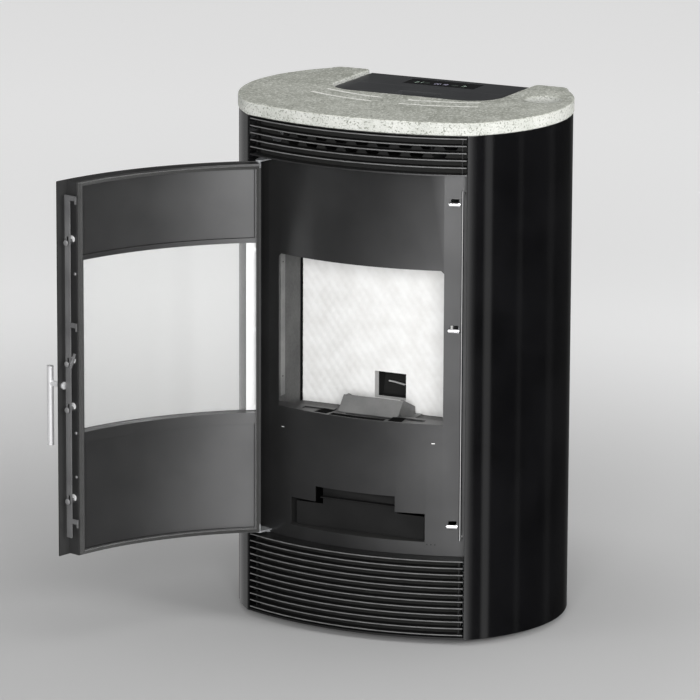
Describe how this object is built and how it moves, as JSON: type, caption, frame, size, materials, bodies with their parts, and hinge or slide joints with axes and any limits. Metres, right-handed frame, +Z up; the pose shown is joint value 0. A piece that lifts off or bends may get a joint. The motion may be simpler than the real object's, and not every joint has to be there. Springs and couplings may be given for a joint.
{
  "type": "pellet stove",
  "caption": "Bow-fronted pellet stove with a stone top, its glazed door open on the firebox, hooks and catches.",
  "frame": {"origin": "centre of the base plate's underside, 12 mm above the floor", "axes": "+X towards the viewer's right facing the stove, -Y out of the front, +Z up"},
  "size_m": [0.8893, 0.8609, 1.1025],
  "materials": {
    "gloss_black": "gloss black enamel",
    "door_grey": "satin dark grey heat paint",
    "deck_grey": "satin charcoal grey",
    "black_steel": "matt black",
    "zinc": "zinc plated sheet",
    "bright_metal": "bright plated",
    "cast_iron": "rough casting",
    "stone": "honed grey-green soapstone with pale flecks",
    "lining": "white quilted vermiculite board",
    "glass": "clear heat-proof ceramic glass",
    "display": "black glass panel",
    "igniter": "ceramic rod in a metal sleeve",
    "rope": "woven glass-fibre rope",
    "plastic": "black moulded",
    "board": "green circuit board"
  },
  "bodies": {
    "root": {"air_duct": "zinc", "air_intake_pipe": "zinc", "air_outlet_plate": "black_steel", "ash_chamber": "zinc", "auger_gearmotor": "black_steel", "auger_tube": "zinc", "back_panel": "zinc", "base_plate": "black_steel", "catch_1": "bright_metal", "catch_2": "bright_metal", "catch_3": "bright_metal", "chassis_post_left": "zinc", "chassis_post_right": "zinc", "control_board": "board", "control_console": "deck_grey", "display_glass": "display", "exhaust_fan_housing": "cast_iron", "exhaust_motor": "black_steel", "firebox_lining": "lining", "firebox_shell": "cast_iron", "flue_spigot": "black_steel", "front_plate": "door_grey", "hearth_ledge": "door_grey", "heat_exchanger": "cast_iron", "hinge_lower": "zinc", "hinge_upper": "zinc", "hopper": "zinc", "igniter": "igniter", "levelling_foot_1": "bright_metal", "levelling_foot_2": "bright_metal", "levelling_foot_3": "bright_metal", "levelling_foot_4": "bright_metal", "lower_grille": "black_steel", "pellet_chute": "zinc", "pot_seat": "zinc", "power_inlet": "plastic", "room_fan_housing": "black_steel", "side_panel_left": "gloss_black", "side_panel_right": "gloss_black", "sill_plate": "black_steel", "stone_top": "stone", "strike_rod": "bright_metal", "top_plate": "black_steel", "upper_grille": "black_steel"},
    "door": {"door_skin": "gloss_black", "door_frame": "door_grey", "door_panel_upper": "door_grey", "door_panel_lower": "door_grey", "door_glass": "glass", "glass_retainer": "zinc", "door_seal": "rope"},
    "lock_bar": {"lock_bar": "zinc"},
    "door_handle": {"door_handle": "bright_metal"},
    "hopper_lid": {"hopper_lid": "deck_grey"},
    "ash_drawer": {"ash_drawer": "black_steel"},
    "burn_pot": {"burn_pot": "cast_iron"},
    "auger_screw": {"auger_screw": "zinc"},
    "exhaust_wheel": {"exhaust_wheel": "zinc"},
    "room_fan_drum": {"room_fan_drum": "zinc"}
  },
  "joints": [
    {"name": "door_hinge", "type": "hinge", "parent": "root", "child": "door", "pos_m": [-0.22614, -0.20222, 0.572], "axis": [0, 0, 1], "range_deg": [0, 125.3]},
    {"name": "handle_turn", "type": "hinge", "parent": "door", "child": "door_handle", "pos_m": [-0.49378, -0.56183, 0.538], "axis": [0.9661, -0.2583, 0], "range_deg": [0, 40]},
    {"name": "lock_bar_slide", "type": "slide", "parent": "door", "child": "lock_bar", "axis": [0, 0, -1], "range_m": [0, 0.009]},
    {"name": "lid_hinge", "type": "hinge", "parent": "root", "child": "hopper_lid", "pos_m": [0, 0.148, 1.083], "axis": [-1, 0, 0], "range_deg": [0, 75]},
    {"name": "drawer_slide", "type": "slide", "parent": "root", "child": "ash_drawer", "axis": [0, -1, 0], "range_m": [0, 0.018]},
    {"name": "pot_lift", "type": "slide", "parent": "root", "child": "burn_pot", "axis": [0, 0, 1], "range_m": [0, 0.06]},
    {"name": "auger_turn", "type": "hinge", "parent": "root", "child": "auger_screw", "pos_m": [0, 0.165, 0.47], "axis": [0, -0.7071, 0.7071], "continuous": true},
    {"name": "exhaust_turn", "type": "hinge", "parent": "root", "child": "exhaust_wheel", "pos_m": [0.115, 0.106, 0.2], "axis": [0, 1, 0], "continuous": true},
    {"name": "room_fan_turn", "type": "hinge", "parent": "root", "child": "room_fan_drum", "pos_m": [-0.065, 0.175, 0.066], "axis": [1, 0, 0], "continuous": true}
  ],
  "couplings": [
    {"joint": "lock_bar_slide", "follows": "handle_turn", "m_per_rad": 0.012892}
  ]
}
